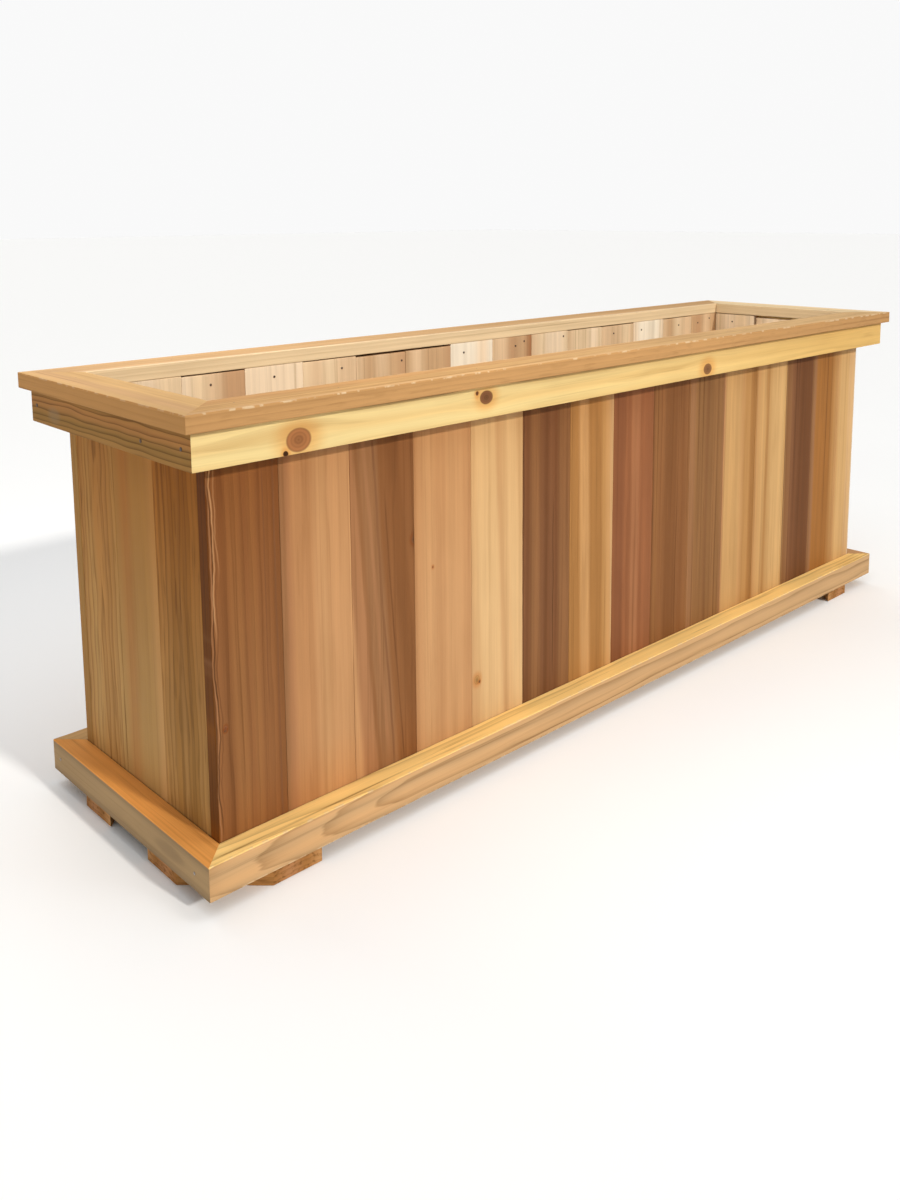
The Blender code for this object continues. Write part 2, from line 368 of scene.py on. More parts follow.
def swept_faces(first, ring, count):
    """The faces of a closed sweep through count rings of points, whose first point has the number first."""
    faces = []
    for station in range(count - 1):
        here = first + station * ring
        there = here + ring
        for k in range(ring):
            nxt = (k + 1) % ring
            faces.append((here + k, here + nxt, there + nxt, there + k))
    faces.append(tuple(reversed(range(first, first + ring))))
    last = first + (count - 1) * ring
    faces.append(tuple(range(last, last + ring)))
    return faces


def add_object(name, mesh, sharp_angle):
    """A smooth shaded object of a mesh, with the edges past that angle left sharp."""
    mesh.shade_smooth()
    mesh.set_sharp_from_angle(angle=math.radians(sharp_angle))
    obj = bpy.data.objects.new(name, mesh)
    bpy.context.scene.collection.objects.link(obj)
    return obj


def plank(name, half_v, half_w, ends, place, look, rough=FACE_ROUGH, chips=(), ease=END_EASE):
    """Sweeps a plank along its grain. ends(v, w) gives u at its two ends, and place(u, v, w) its point in
    the world. chips are (u, corner, depth) bites out of an arris. ease is how much the ends are rounded."""
    low_u, high_u = ends(0.0, 0.0)
    length = high_u - low_u
    count = max(FEWEST_STATIONS, round(length / STATION))
    near_end = [distance / length for distance in END_STATIONS]
    shares = near_end + [(k + 0.5) / count for k in range(count)]
    shares += [1 - share for share in reversed(near_end)]
    insets = {0: ease, 1: ease / 3, len(shares) - 1: ease, len(shares) - 2: ease / 3}
    points, grain, trim = [], [], []
    for station, share in enumerate(shares):
        along = low_u + length * share
        radii = arris_radii(look, along, half_w, chips)
        inset = insets.get(station, 0.0)
        end_near = min(1.0, ease / END_EASE) if station in insets else 0.0
        edge_in = [EDGE_IN * (1 + wobble(look.seed + 9 + side, along, EDGE_WAVES)) for side in (0, 1)]
        for v, w, near in section(half_v - inset, half_w - inset, radii):
            drift = edge_in[0] if v < 0 else -edge_in[1]
            v += drift * min(1.0, abs(v) / half_v)
            push = rough * (1 + wobble(look.seed + 3, along, FACE_WAVES_ALONG, v * FACE_WAVES_ACROSS))
            w -= math.copysign(push * min(1.0, abs(w) / half_w), w)
            start, end = ends(v, w)
            u = start + (end - start) * share
            points.append(place(u, v, w))
            grain.append((u, v, w))
            trim.append((near, end_near, 0.0))
    mesh = bpy.data.meshes.new(name)
    mesh.from_pydata(points, [], swept_faces(0, len(points) // len(shares), len(shares)))
    mesh.validate()
    for label, values in (("grain", grain), ("trim", trim)):
        layer = mesh.attributes.new(label, "FLOAT_VECTOR", "POINT")
        layer.data.foreach_set("vector", [c for value in values for c in value])
    make_outward(mesh)
    obj = add_object(name, mesh, SHARP_ANGLE)
    even = obj.modifiers.new("even shading", "WEIGHTED_NORMAL")
    even.keep_sharp = True
    return obj


def make_outward(mesh):
    """Turns every face outward when the sweep came out mirrored."""
    volume = 0.0
    for face in mesh.polygons:
        corners = [mesh.vertices[i].co for i in face.vertices]
        for k in range(1, len(corners) - 1):
            volume += corners[0].dot(corners[k].cross(corners[k + 1]))
    if volume < 0:
        mesh.flip_normals()


# ---------------------------------------------------------------------------
# Wood material. Lengths are metres in the plank, and rates are waves per metre.

# Noise patterns: rate along the grain, rate across it, detail
STREAKS = (1.4, 115.0, 2.0)
LINES = (1.9, 210.0, 4.0)
BANDS = (1.1, 38.0, 1.0)  # where the fine lines bunch together
FIBRES = (16.0, 1000.0, 2.0)
CLOUDS = (7.0, 26.0, 2.0)
WEAR = (75.0, 40.0, 3.0)
PATTERN_ROUGHNESS = 0.55
FIBRE_SWING = 0.08

# Tints, multiplied into the colour
OIL_TINT = (0.84, 0.66, 0.46)
DARK_TINT = (0.96, 0.86, 0.71)  # where the wood is darker it is also redder
# painted shade toward a wall board's upper end
TOP_TINT = (0.86, 0.71, 0.52)
LOW_TINT = (1.06, 0.90, 0.70)
# painted shadow under the fascia, on the front boards
FASCIA_SHADOW_TINT = (0.80, 0.84, 0.95)
HALO_TINT = (0.92, 0.68, 0.48)
END_TINT = (0.75, 0.62, 0.50)

# Ramps: a value is read from the first number to the second, and becomes 0 to 1 or what the next two say
FAR_RAMP = (-0.4, 0.5)  # the u over which a rail turns to its far tone
TOP_FULL = 0.44  # the u where the painted shade at a board's upper end is deepest
FASCIA_SHADOW_RAMP = (0.407, 0.417)  # the u over which the painted shadow under the fascia fades in
LOW_RAMP = (0.11, 0.045)  # and the warm foot of the board
SKIN_RAMP = (-0.002, 0.002)  # the depth over which one side's finish turns to the other's
NARROW_RAMP = (0.0016, 0.0007)  # how far from an edge the painted light and shade of its narrow face fades in
LINE_RAMP = (0.52, 0.70)
BAND_RAMP = (0.38, 0.62, 0.1, 2.0)
RING_STOP_RAMP = (0.90, 1.0, 1.0, 0.0)
FLECK_RAMP = (0.56, 0.70)
DARK_RAMP = (1.0, 0.6, 0.0, 0.8)
SMUDGE_RAMP = (1.2, 2.6, 0.55, 0.0)
SEAM_BREAK_RAMP = (0.35, 0.6, 1.0, 0.5)
HALO_RAMP = (1.0, 2.8, 0.8, 0.0)  # of a knot's reach, as are those of its heart
HEART_RAMP = (0.85, 1.1, 1.0, 0.0)
HEART_SHADE_RAMP = (0.0, 0.7, 0.72, 1.08)
RIM_RAMP = (0.0, 0.12, 0.40, 0.0)  # of the distance from the rim
ARRIS_RAMP = (0.2, 0.7)
WEAR_RAMP = (0.52, 0.58)
OUTSIDE_RAMP = (0.0, 0.003)

BARE = 0.55  # how far the bare side of an oiled board turns pale
RAW_LIFT = 1.10  # wood that was never oiled
NARROW_LIFT = 1.08  # narrow faces catch the light
LINES_BACK = 0.28  # of the lines' darkness, given back to the wood between them
RINGS_BACK = 0.25  # and of the rings'
FLECK_DARK = 0.55
END_DARK = 0.35

PLANK_SHIFT = 3.7  # metres between the stretches of noise that two planks take
WAVES_ACROSS = 18.0
JITTER_ALONG = 5.0
JITTER_ACROSS = 90.0
JITTER = 0.9  # in rings
RING_POWER = 2.6  # the wood darkens late in each ring

KNOT_SQUEEZE = 0.8  # knots are longer along the grain than across it
BEND_SQUEEZE = 0.45  # and the bend round them longer still
BEND_FADE = -0.35
BEND = 0.75
KNOT_RAGGED = 1.3
KNOT_RINGS = 19.0
KNOT_RING_DARK = 0.09
RIM = 0.95  # a knot's reach at its dark rim

SMUDGE_RAGGED = 2.4
SEAM_SPREAD = 90.0  # seams much closer than one part in this of a metre sway together
SEAM_CORE = 0.2  # of its width
SEAM_SIDE = 1.2
SEAM_DARK = 0.8
SEAM_FADE = 0.03  # metres at both ends of a seam

SMOOTHEST = 0.52  # the least roughness
ROUGH_FIBRES = 0.16
ROUGH_STREAKS = 0.12
SPECULAR = 0.08
BUMP_STRENGTH = 0.35
BUMP_HEIGHT = 0.0006
BUMP_FIBRES = 0.5
BUMP_RINGS = 0.35


class Graph:
    """Short ways to add and join the nodes of one material."""

    def __init__(self, tree):
        self.tree = tree

    def add(self, kind, inputs=(), **settings):
        node = self.tree.nodes.new(kind)
        for name, value in settings.items():
            setattr(node, name, value)
        for key, value in dict(inputs).items():
            self.plug(node.inputs[key], value)
        return node

    def plug(self, socket, value):
        if isinstance(value, bpy.types.NodeSocket):
            self.tree.links.new(value, socket)
        elif value is not None:
            socket.default_value = value

    def math(self, operation, a, b=None):
        node = self.add("ShaderNodeMath", operation=operation)
        self.plug(node.inputs[0], a)
        self.plug(node.inputs[1], b)
        return node.outputs[0]

    def plus(self, a, b):
        return self.math("ADD", a, b)

    def minus(self, a, b):
        return self.math("SUBTRACT", a, b)

    def times(self, a, b):
        return self.math("MULTIPLY", a, b)

    def squares(self, a, b):
        """The sum of two squares."""
        return self.plus(self.times(a, a), self.times(b, b))

    def swing(self, value, amount):
        """Turns noise round 0.5 into a factor round 1."""
        return self.plus(self.times(value, 2 * amount), 1.0 - amount)

    def vector(self, x, y, z):
        return self.add("ShaderNodeCombineXYZ", {0: x, 1: y, 2: z}).outputs[0]

    def noise(self, vector, detail=2.0, roughness=0.5):
        inputs = {"Vector": vector, "Scale": 1.0, "Detail": detail, "Roughness": roughness}
        return self.add("ShaderNodeTexNoise", inputs).outputs["Fac"]

    def remap(self, value, low, high, to_low=0.0, to_high=1.0, smooth=False):
        kind = "SMOOTHSTEP" if smooth else "LINEAR"
        inputs = {0: value, 1: low, 2: high, 3: to_low, 4: to_high}
        return self.add("ShaderNodeMapRange", inputs, interpolation_type=kind, clamp=True).outputs[0]

    def mix(self, share, a, b, **settings):
        node = self.add("ShaderNodeMix", data_type="RGBA", **settings)
        self.plug(node.inputs[0], share)
        self.plug(node.inputs[6], a)
        self.plug(node.inputs[7], b)
        return node.outputs[2]

    def tinted(self, amount, colour, tint):
        """The colour times a tint. The amount may pass 1."""
        return self.mix(amount, colour, (*tint, 1.0), blend_type="MULTIPLY", clamp_factor=False)

    def scaled(self, colour, value):
        """The colour times a number."""
        node = self.add("ShaderNodeVectorMath", operation="SCALE")
        self.plug(node.inputs[0], colour)
        self.plug(node.inputs["Scale"], value)
        return node.outputs[0]

    def ramp(self, tones, share):
        """The named tones laid evenly from 0 to 1."""
        node = self.add("ShaderNodeValToRGB", {"Fac": share})
        band = node.color_ramp
        band.interpolation = "EASE"
        while len(band.elements) < len(tones):
            band.elements.new(0.5)
        for index, tone in enumerate(tones):
            band.elements[index].position = index / (len(tones) - 1)
            band.elements[index].color = linear(tone)
        return node.outputs["Color"]


class Wood:
    """Builds one piece's material. It keeps the shaded point's place in its plank and the colour so far."""

    def __init__(self, name, look, half_v):
        self.look = look
        self.half_v = half_v
        self.material = bpy.data.materials.new(name)
        self.material.use_nodes = True
        self.g = Graph(self.material.node_tree)
        self.u, self.v, self.w = self.stored("grain")
        self.near_arris, self.near_end, _ = self.stored("trim")
        self.u_here = self.g.plus(self.u, look.seed * PLANK_SHIFT)
        self.bend_round_knots()
        self.wave()
        self.grow_rings()
        self.streaks = self.pattern(STREAKS)
        self.lines = self.pattern(LINES)
        self.fibres = self.pattern(FIBRES)
        self.clouds = self.pattern(CLOUDS)
        self.lay_tones()
        self.oil_and_shade_sides()
        self.shade_grain()
        self.tint_by_height()
        self.smudge()
        self.draw_seams_and_shadow_line()
        self.draw_knots()
        self.wear()
        self.connect()

    def stored(self, name):
        """The three numbers that the plank stores under a name."""
        kept = self.g.add("ShaderNodeAttribute", attribute_name=name)
        return self.g.add("ShaderNodeSeparateXYZ", {0: kept.outputs["Vector"]}).outputs

    def drifting(self, rate, spread, detail=2.0):
        """Noise that changes along the plank, and with the spread."""
        g = self.g
        return g.noise(g.vector(g.times(self.u_here, rate), spread, self.look.seed), detail)

    def pattern(self, rates, v=None):
        """Noise stretched along the grain. It waves with the grain unless it is given a v."""
        g = self.g
        along, across, detail = rates
        if v is None:
            v = self.v_wavy
        place = g.vector(g.times(self.u_here, along), g.times(v, across), g.times(self.w, across))
        return g.noise(place, detail, PATTERN_ROUGHNESS)

    def paint(self, amount, colour):
        self.colour = self.g.mix(amount, self.colour, colour)

    def tint(self, amount, tint):
        self.colour = self.g.tinted(amount, self.colour, tint)

    def lit(self, tone, value):
        """A tone times a number."""
        return self.g.scaled(linear(tone)[:3], value)

    def bend_round_knots(self):
        """Pushes the grain aside at each knot. A knot's reach is 1 at its rim."""
        g = self.g
        self.knots = []
        for knot_u, knot_v, radius, tone in self.look.knots:
            off_u = g.times(g.minus(self.u, knot_u), KNOT_SQUEEZE)
            off_v = g.minus(self.v, knot_v)
            reach = g.math("DIVIDE", g.math("SQRT", g.squares(off_u, off_v)), radius)
            bend_u = g.math("DIVIDE", g.times(off_u, BEND_SQUEEZE), radius)
            bend_v = g.math("DIVIDE", off_v, radius)
            pull = g.math("EXPONENT", g.times(g.squares(bend_u, bend_v), BEND_FADE))
            self.v = g.minus(self.v, g.times(g.times(off_v, pull), BEND))
            self.knots.append((reach, tone))

    def wave(self):
        """Slow sideways waves of the grain."""
        g = self.g
        slow = self.drifting(self.look.wave_rate, g.times(self.v, WAVES_ACROSS))
        self.v_wavy = g.plus(self.v, g.times(g.minus(slow, 0.5), 2 * self.look.wander))

    def grow_rings(self):
        """The dark late wood of the growth rings round the pith."""
        g, look = self.g, self.look
        swing = g.noise(g.vector(g.times(self.u_here, look.arch_rate), look.seed, 0.0), 1.0)
        depth = g.plus(g.times(swing, 2 * look.arch), look.depth - look.arch)
        slope_end, slope_rise = look.slope
        if slope_rise:
            before = g.math("MAXIMUM", g.minus(slope_end, self.u), 0.0)
            depth = g.plus(depth, g.times(before, slope_rise))
        ring_out = g.math("SQRT", g.squares(g.minus(self.v_wavy, look.pith), g.plus(depth, self.w)))
        jitter = g.times(self.drifting(JITTER_ALONG, g.times(self.v, JITTER_ACROSS)), JITTER)
        phase = g.math("FRACT", g.plus(g.times(ring_out, 1 / look.ring), jitter))
        stop = g.remap(phase, *RING_STOP_RAMP, smooth=True)
        self.late = g.times(g.math("POWER", phase, RING_POWER), stop)

    def lay_tones(self):
        """The look's tones across the face."""
        g, look = self.g, self.look
        across = g.plus(g.times(self.v_wavy, 0.5 / self.half_v), 0.5)
        lean = g.times(g.minus(self.u, look.lean_from), look.lean)
        self.colour = g.ramp(look.face, g.plus(across, lean))
        if look.far:
            self.paint(g.remap(self.u, *FAR_RAMP), linear(look.far))

    def oil_and_shade_sides(self):
        """Only the outside of the trough is oiled. The narrow faces may carry painted light and shade:
        tones of their own for how the light falls on them, lifted as if they caught the light.
        """
        g, look = self.g, self.look
        if look.oiled:
            self.colour = g.scaled(self.colour, RAW_LIFT)
            self.tint(g.remap(g.times(self.w, look.oiled), *SKIN_RAMP), OIL_TINT)
        if look.raw:
            self.paint(g.remap(g.times(self.w, look.raw), *SKIN_RAMP, 0.0, BARE), linear("shell"))
        fade_from, fade_to = (self.half_v - inset for inset in NARROW_RAMP)
        # painted light and shade on the narrow faces
        for tone, side in ((look.ledge_light_and_shade, self.v), (look.sill_light_and_shade, g.times(self.v, -1.0))):
            if tone:
                self.paint(g.remap(side, fade_from, fade_to), self.lit(tone, NARROW_LIFT))

    def shade_grain(self):
        """Streaks, fine dark lines, fibres, clouds, rings and flecks."""
        g, look = self.g, self.look
        light = g.swing(self.streaks, look.streak)
        bunched = g.remap(self.pattern(BANDS), *BAND_RAMP)
        drawn = g.times(g.remap(self.lines, *LINE_RAMP, smooth=True), bunched)
        light = g.times(light, g.minus(1.0 + LINES_BACK * look.lines, g.times(drawn, look.lines)))
        light = g.times(light, g.swing(self.fibres, FIBRE_SWING))
        light = g.times(light, g.swing(self.clouds, look.mottle))
        rings = g.times(self.late, look.ring_dark)
        light = g.times(light, g.minus(1.0 + RINGS_BACK * look.ring_dark, rings))
        if look.fleck:
            long, wide = look.fleck_size
            dashes = self.pattern((1 / long, 1 / wide, 1.0))
            darkest = 1.0 - FLECK_DARK * look.fleck
            light = g.times(light, g.remap(dashes, *FLECK_RAMP, 1.0, darkest, smooth=True))
        self.colour = g.scaled(self.colour, light)
        self.tint(g.remap(light, *DARK_RAMP), DARK_TINT)

    def tint_by_height(self):
        """Painted shade on a wall board: deeper colour toward its upper end and a darker strip just under
        the fascia, where the fascia shades it. Also the board's warmer foot.
        """
        g, look = self.g, self.look
        if look.top:
            self.tint(g.times(g.remap(self.u, look.top_from, TOP_FULL, smooth=True), look.top), TOP_TINT)
        if look.low:
            self.tint(g.times(g.remap(self.u, *LOW_RAMP, smooth=True), look.low), LOW_TINT)
        if look.fascia_shadow:
            self.tint(g.times(g.remap(self.u, *FASCIA_SHADOW_RAMP, smooth=True), look.fascia_shadow), FASCIA_SHADOW_TINT)

    def smudge(self):
        """Soft grey patches with ragged rims."""
        g = self.g
        for smudge_u, smudge_v, half_long, half_high in self.look.smudges:
            off_u = g.times(g.minus(self.u, smudge_u), 1 / half_long)
            off_v = g.times(g.minus(self.v, smudge_v), 1 / half_high)
            away = g.plus(g.squares(off_u, off_v), g.times(self.clouds, SMUDGE_RAGGED))
            self.paint(g.remap(away, *SMUDGE_RAMP, smooth=True), linear("grey"))

    def draw_seams_and_shadow_line(self):
        """Wavy lines along the grain, and the painted shadow line under the cap on the front fascia. Those
        close together sway together.
        """
        g, look = self.g, self.look
        lean = g.times(g.minus(self.u, look.lean_from), look.lean * 2 * self.half_v)
        v_drift = g.plus(self.v, lean)
        for seam_v, width, tone, wander, low_u, high_u in look.seams_and_shadow_line:
            sway = self.drifting(look.seam_rate, seam_v * SEAM_SPREAD, detail=3.0)
            off = g.minus(g.minus(v_drift, seam_v), g.times(g.minus(sway, 0.5), 4 * wander))
            off = g.math("ABSOLUTE", off)
            line = g.remap(off, SEAM_CORE * width, SEAM_SIDE * width, SEAM_DARK, 0.0, smooth=True)
            line = g.times(line, g.remap(self.lines, *SEAM_BREAK_RAMP))
            line = g.times(line, g.remap(self.u, low_u, low_u + SEAM_FADE))
            line = g.times(line, g.remap(self.u, high_u - SEAM_FADE, high_u, 1.0, 0.0))
            self.paint(line, linear(tone))

    def draw_knots(self):
        """Knots: a ringed heart, a thin dark rim and an orange halo."""
        g = self.g
        self.height = g.plus(g.times(self.fibres, BUMP_FIBRES), g.times(self.late, BUMP_RINGS))
        for reach, tone in self.knots:
            ragged = g.plus(reach, g.times(g.minus(self.clouds, 0.5), KNOT_RAGGED))
            self.tint(g.remap(ragged, *HALO_RAMP, smooth=True), HALO_TINT)
            rings = g.math("SINE", g.times(ragged, KNOT_RINGS))
            shade = g.plus(g.times(rings, KNOT_RING_DARK), g.remap(ragged, *HEART_SHADE_RAMP))
            self.paint(g.remap(ragged, *HEART_RAMP, smooth=True), self.lit(tone, shade))
            from_rim = g.math("ABSOLUTE", g.minus(ragged, RIM))
            rim = g.remap(from_rim, *RIM_RAMP, smooth=True)
            self.paint(rim, linear("umber_dark"))
            self.height = g.minus(self.height, rim)

    def wear(self):
        """Worn patches along the outer arrises, and darker end grain."""
        g, look = self.g, self.look
        if look.edge:
            patchy = g.remap(self.pattern(WEAR, self.v), *WEAR_RAMP)
            worn = g.times(g.remap(self.near_arris, *ARRIS_RAMP), patchy)
            worn = g.times(worn, g.remap(self.w, *OUTSIDE_RAMP))
            self.paint(g.times(worn, look.edge), linear("cream"))
        self.tint(g.times(self.near_end, END_DARK), END_TINT)

    def connect(self):
        g = self.g
        shader = g.tree.nodes["Principled BSDF"]
        g.plug(shader.inputs["Base Color"], self.colour)
        uneven = g.plus(g.times(self.fibres, ROUGH_FIBRES), g.times(self.streaks, ROUGH_STREAKS))
        g.plug(shader.inputs["Roughness"], g.plus(SMOOTHEST, uneven))
        shader.inputs["Specular IOR Level"].default_value = SPECULAR
        inputs = {"Strength": BUMP_STRENGTH, "Distance": BUMP_HEIGHT, "Height": self.height}
        g.plug(shader.inputs["Normal"], g.add("ShaderNodeBump", inputs).outputs["Normal"])


# ---------------------------------------------------------------------------
# Pieces

UP = Vector((0.0, 0.0, 1.0))
OUTWARD = {"front": (0, -1, 0), "back": (0, 1, 0), "left": (-1, 0, 0), "right": (1, 0, 0)}

MITRE_GAP = 0.00003  # half the gap in a mitre, along the piece
MITRE_EASE = 0.00015
BUTT_CLOSE = 0.0001  # takes up part of the gap between boards
TOP_CLOSE = 0.00022  # and between a wall and the cap
FOOT_ALONG = 0.061  # the foot's cut end, along the side of the planter
FOOT_ROUGH = 0.0003
CHIPS = {2: (0.292, OUTER_RIGHT, 0.0035)}  # in front boards, by their index


def finish_piece(obj, node, look, half_v):
    obj.data.materials.append(Wood(node + "_wood", look, half_v).material)
    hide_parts(node)
    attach(obj, "root")


def upright(node, look, outward, chips=()):
    """A standing board. v runs to the right as seen from the side that outward points to, u upward."""
    low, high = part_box(node)
    middle = (low + high) / 2
    out = Vector(outward)
    right = UP.cross(out)
    half_v = abs((high - low).dot(right)) / 2 + BUTT_CLOSE
    half_w = abs((high - low).dot(out)) / 2
    bottom = Vector((middle.x, middle.y, low.z))
    tall = high.z - low.z + TOP_CLOSE

    def place(u, v, w):
        return bottom + UP * u + right * v + out * w

    obj = plank(node + "_board", half_v, half_w, lambda v, w: (0.0, tall), place, look, chips=chips)
    finish_piece(obj, node, look, half_v)


def lying(node, look):
    """A squared board lying along its longest side."""
    low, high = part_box(node)
    middle, size = (low + high) / 2, high - low
    along_x = size.x > size.y
    half_u, half_v = (size.x / 2, size.y / 2) if along_x else (size.y / 2, size.x / 2)

    def place(u, v, w):
        return middle + (Vector((u, v, w)) if along_x else Vector((-v, u, w)))

    obj = plank(node + "_board", half_v, size.z / 2, lambda v, w: (-half_u, half_u), place, look)
    finish_piece(obj, node, look, half_v)


def mitred(prefix, side, look, upright_face):
    """One side of a mitred ring. On a rail v runs up its outer face; on the cap v runs out over its top."""
    node = f"{prefix}_{side}"
    low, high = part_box(node)
    middle, size = (low + high) / 2, high - low
    out = Vector(OUTWARD[side])
    right = UP.cross(out)
    half_out = abs(size.dot(out)) / 2
    half_tall = size.z / 2
    # The ring's own corner, because the eased corners of this piece stop short of it
    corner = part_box(f"{prefix}_right")[1] if right.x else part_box(f"{prefix}_back")[1]
    half_long = abs(corner.dot(right)) - MITRE_GAP
    half_v, half_w = (half_tall, half_out) if upright_face else (half_out, half_tall)

    def ends(v, w):
        outset = w if upright_face else v
        reach = half_long - half_out + outset
        return -reach, reach

    def place(u, v, w):
        outset, up = (w, v) if upright_face else (v, w)
        return middle + right * u + out * outset + UP * up

    obj = plank(node + "_rail", half_v, half_w, ends, place, look, ease=MITRE_EASE)
    finish_piece(obj, node, look, half_v)


def foot(corner, look):
    """A board laid across a corner, its ends cut along the two sides."""
    node = f"foot_{corner}"
    low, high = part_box(node)
    side_x = -1 if corner.endswith("left") else 1
    side_y = -1 if corner.startswith("front") else 1
    corner_x = low.x if side_x < 0 else high.x
    corner_y = low.y if side_y < 0 else high.y
    far = high.x - low.x  # along either side, from the corner to the foot's far edge
    near = far - FOOT_ALONG
    v_low, v_high = near / math.sqrt(2), far / math.sqrt(2)
    middle_v, half_v = (v_low + v_high) / 2, (v_high - v_low) / 2
    middle_z, half_w = (low.z + high.z) / 2, (high.z - low.z) / 2

    def ends(v, w):
        return -(middle_v + v), middle_v + v

    def place(u, v, w):
        inward_x = (middle_v + v + u) / math.sqrt(2)
        inward_y = (middle_v + v - u) / math.sqrt(2)
        return Vector((corner_x - side_x * inward_x, corner_y - side_y * inward_y, middle_z + w))

    obj = plank(node + "_block", half_v, half_w, ends, place, look, rough=FOOT_ROUGH)
    finish_piece(obj, node, look, half_v)


def seeded(look, number):
    look.seed = float(number)
    return look


def build_wood():
    for index, look in enumerate(FRONT_LOOKS):
        look.raw = -1
        # every front board gets the painted shadow under the fascia
        look.fascia_shadow = 1.0
        chips = (CHIPS[index],) if index in CHIPS else ()
        upright(f"front_board_{index + 1:02d}", seeded(look, index + 1), OUTWARD["front"], chips)
    for index, look in enumerate(BACK_LOOKS):
        look.oiled = -1
        upright(f"back_board_{index + 1:02d}", seeded(look, index + 21), OUTWARD["front"])
    for index, look in enumerate(LEFT_LOOKS):
        look.raw = -1
        upright(f"left_end_board_{index + 1}", seeded(look, index + 41), OUTWARD["left"])
    for index, look in enumerate(RIGHT_LOOKS):
        look.oiled = 1
        upright(f"right_end_board_{index + 1}", seeded(look, index + 51), OUTWARD["right"])
    for number, side in enumerate(OUTWARD):
        mitred("fascia", side, seeded(FASCIA_LOOKS[side], 61 + number), True)
        mitred("base_trim", side, seeded(BASE_LOOKS[side], 71 + number), True)
        mitred("cap", side, seeded(CAP_LOOKS[side], 81 + number), False)
    for number, corner in enumerate(("front_left", "front_right", "back_left", "back_right")):
        foot(corner, seeded(Look(**FOOT_LOOK), 91 + number))
    for index, look in enumerate(FLOOR_LOOKS):
        lying(f"floor_board_{index + 1}", seeded(look, 101 + index))
    hidden = [f"floor_bearer_{number}" for number in (1, 2, 3)] + ["floor_cleat_front", "floor_cleat_back"]
    for number, node in enumerate(hidden):
        lying(node, seeded(Look(**HIDDEN_LOOK), 111 + number))


build_wood()


# ---------------------------------------------------------------------------
# Nails

NAIL_SIDES = 12
NAIL_SHARP_ANGLE = 40.0  # degrees
NAIL_ROOT = 0.0002  # how far a head reaches into the wood
BOARD_NAIL = 0.0016  # radii
MITRE_NAIL = 0.0020
BASE_NAIL = 0.0018
FINISH_NAIL = 0.0009
PROUD = 0.0005
FINISH_PROUD = 0.0003
FINISH_SUNK = 0.0004

BELOW_CAP = 0.015  # the row of board nails
HIGHER = 0.006  # some of them were driven this much higher
BOARD_PITCH = 0.0889
FIRST_NAIL = 0.045  # from the wall's end to the middle of its first board
RUST = (0.12, 0.055, 0.025, 1.0)
RUST_SCALE = 900.0
RUST_RAMP = (0.45, 0.62)
RUST_ROUGHER = 0.3


def steel(name, colour, roughness):
    material = bpy.data.materials.new(name)
    material.use_nodes = True
    g = Graph(material.node_tree)
    shader = g.tree.nodes["Principled BSDF"]
    place = g.add("ShaderNodeTexCoord").outputs["Object"]
    spots = g.noise(g.scaled(place, RUST_SCALE))
    rust = g.remap(spots, *RUST_RAMP)
    g.plug(shader.inputs["Base Color"], g.mix(rust, colour, RUST))
    g.plug(shader.inputs["Roughness"], g.plus(g.times(rust, RUST_ROUGHER), roughness))
    g.plug(shader.inputs["Metallic"], g.minus(1.0, rust))
    return material


def nails(name, spots, out, radius, material, proud=PROUD):
    """Round nail heads, just proud of the wood. spots are points on a face whose outward side is out."""
    out = Vector(out)
    side = out.orthogonal().normalized()
    other = out.cross(side)
    rings = ((1.0, -NAIL_ROOT), (1.0, 0.6 * proud), (0.82, proud), (0.35, 0.85 * proud))
    points, faces = [], []
    for spot in spots:
        faces += swept_faces(len(points), NAIL_SIDES, len(rings))
        for share, lift in rings:
            for k in range(NAIL_SIDES):
                turn = math.tau * k / NAIL_SIDES
                arm = side * math.cos(turn) + other * math.sin(turn)
                points.append(Vector(spot) + arm * radius * share + out * lift)
    mesh = bpy.data.meshes.new(name)
    mesh.from_pydata(points, [], faces)
    mesh.materials.append(material)
    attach(add_object(name, mesh, NAIL_SHARP_ANGLE), "root")


def wall_nails(dark):
    """One nail through each board into the fascia, some driven a little higher."""
    left_x, front_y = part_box("front_board_01")[0].xy
    inner_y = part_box("back_board_02")[0].y
    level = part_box("cap_front")[0].z - BELOW_CAP
    low_nails = (0.105, 0.174, 0.267, 0.376, 0.483, 0.606, 0.719, 0.967, 1.046, 1.160, 1.222)
    high_nails = (0.739, 0.834, 1.260)
    spots = [(left_x + x, inner_y, level) for x in low_nails]
    spots += [(left_x + x, inner_y, level + HIGHER) for x in high_nails]
    nails("nails_in_back_wall", spots, (0, -1, 0), BOARD_NAIL, dark)
    spots = [(left_x + FIRST_NAIL + BOARD_PITCH * k, -inner_y, level) for k in range(14)]
    nails("nails_in_front_wall", spots, (0, 1, 0), BOARD_NAIL, dark)
    end_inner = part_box("right_end_board_2")[0].x
    ys = (-front_y - 0.053, -0.010, -0.095)
    nails("nails_in_right_end", [(end_inner, y, level) for y in ys], (-1, 0, 0), BOARD_NAIL, dark)
    nails("nails_in_left_end", [(-end_inner, y, level) for y in ys], (1, 0, 0), BOARD_NAIL, dark)


